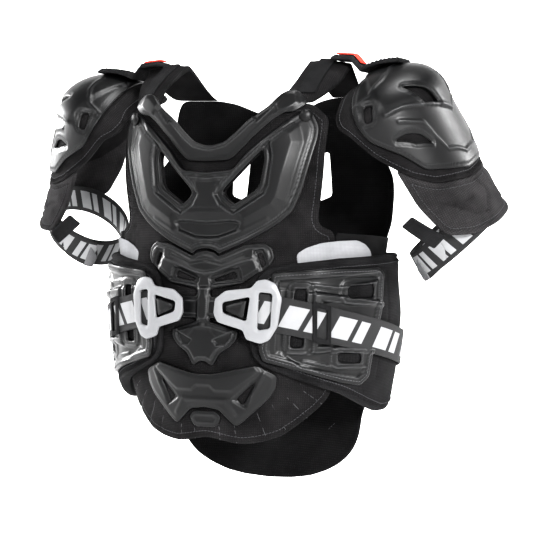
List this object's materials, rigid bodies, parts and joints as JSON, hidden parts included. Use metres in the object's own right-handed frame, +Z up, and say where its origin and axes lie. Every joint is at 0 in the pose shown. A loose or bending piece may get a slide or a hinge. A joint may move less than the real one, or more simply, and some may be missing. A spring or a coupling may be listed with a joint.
{
  "type": "roost deflector",
  "caption": "Chest and back guard with moulded plates, padded body, hinged shoulder cups with arm loops, and a buckled kidney belt.",
  "frame": {"origin": "seat on the wearer's shoulders, midway between the two shoulder yokes", "axes": "+X to the wearer's left, -Y to the front, +Z up"},
  "size_m": [0.6366, 0.2554, 0.534],
  "materials": {
    "padding": "matte",
    "lining": "matte",
    "webbing": "matte",
    "shell": "satin",
    "white": "satin",
    "tab": "matte"
  },
  "bodies": {
    "root": {"vest_front": "padding", "vest_back": "padding", "vest_side_left": "lining", "vest_side_right": "lining", "shoulder_yoke_left": "padding", "yoke_webbing_left": "webbing", "shoulder_yoke_right": "padding", "yoke_webbing_right": "webbing", "link_strap_left": "webbing", "link_strap_right": "webbing", "red_tab_left": "tab", "red_tab_right": "tab", "collar_plate": "shell", "chest_plate": "shell", "rivet_left": "shell", "rivet_right": "shell", "abdomen_plate": "shell", "belly_plate": "shell", "hex_tab": "shell", "belt_wing_left": "padding", "belt_plate_left": "shell", "belt_strap_left": "webbing", "strap_keeper_left": "webbing", "side_inset_left": "white", "buckle_left": "white", "belt_wing_right": "padding", "belt_plate_right": "shell", "belt_strap_right": "webbing", "strap_keeper_right": "webbing", "side_inset_right": "white", "buckle_right": "white", "shoulder_shell_left": "shell", "shoulder_pad_left": "padding", "bicep_flap_left": "padding", "arm_strap_left": "webbing", "arm_strap_end_left": "webbing", "arm_strap_slider_left": "webbing", "shoulder_shell_right": "shell", "shoulder_pad_right": "padding", "bicep_flap_right": "padding", "arm_strap_right": "webbing", "arm_strap_end_right": "webbing", "arm_strap_slider_right": "webbing"}
  },
  "joints": []
}
